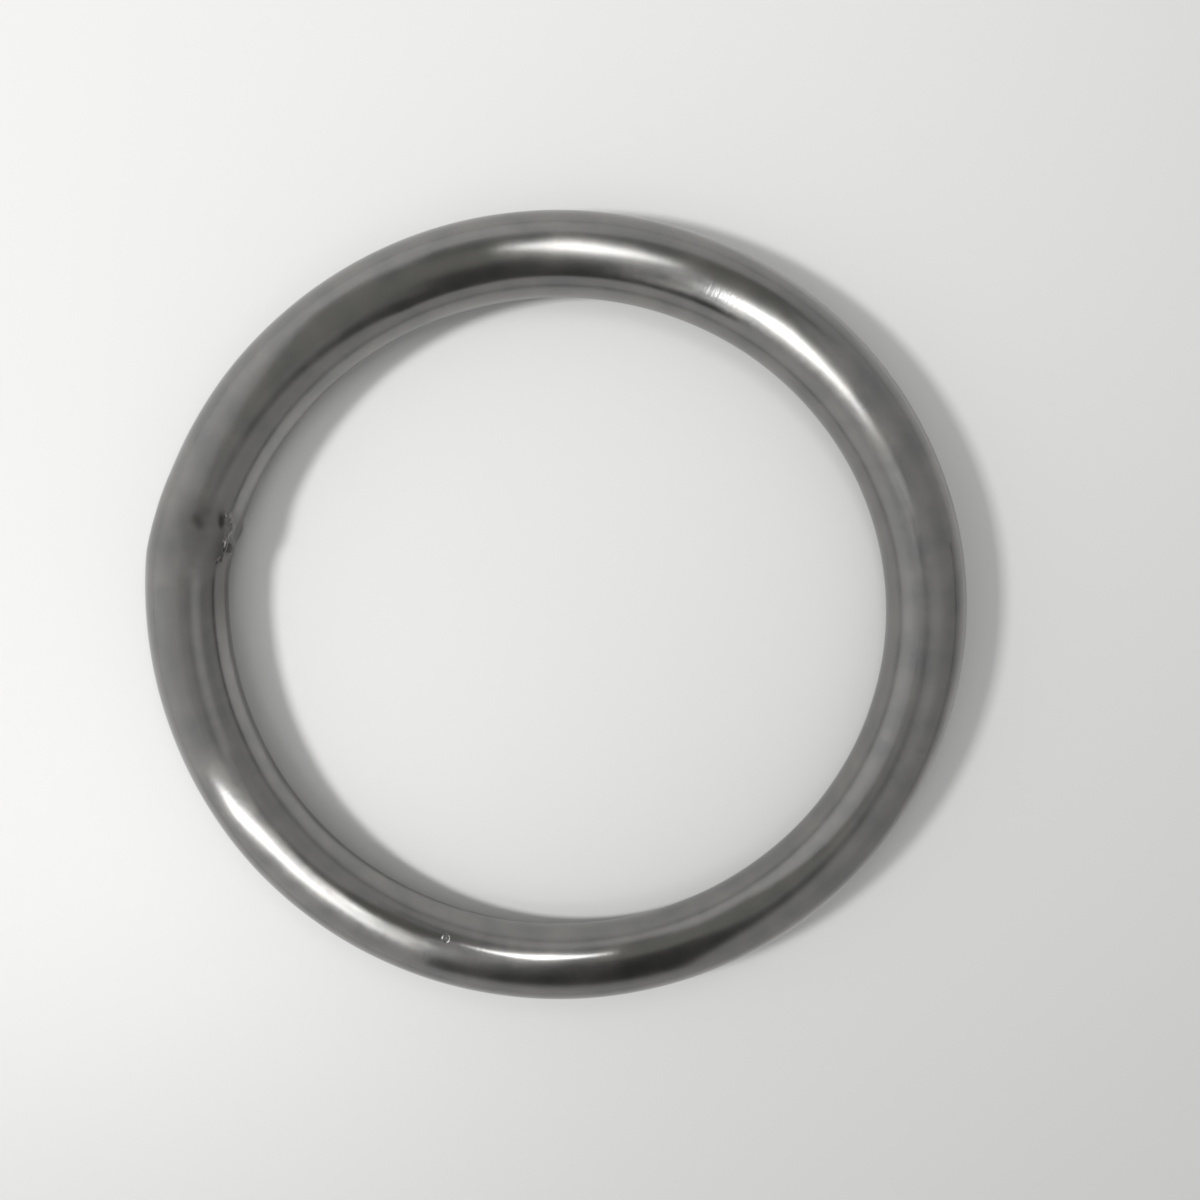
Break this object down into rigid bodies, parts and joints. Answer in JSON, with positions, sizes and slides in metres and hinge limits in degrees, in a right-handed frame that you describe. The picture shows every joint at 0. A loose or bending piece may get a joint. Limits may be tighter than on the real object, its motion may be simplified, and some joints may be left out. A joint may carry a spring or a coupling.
{
  "type": "metal ring",
  "caption": "Closed ring of round steel bar, butt welded at one side, for joining straps, ropes, hooks or chain.",
  "frame": {"origin": "centre of the ring, on the surface that the ring lies on", "axes": "+Z along the ring's axis, up from the surface; X and Y in the plane of the ring, with the weld 162 degrees from +X towards +Y"},
  "size_m": [0.0623, 0.062, 0.0061],
  "materials": {
    "steel": "polished, worn to a slight satin"
  },
  "bodies": {
    "root": {"ring": "steel"}
  },
  "joints": []
}
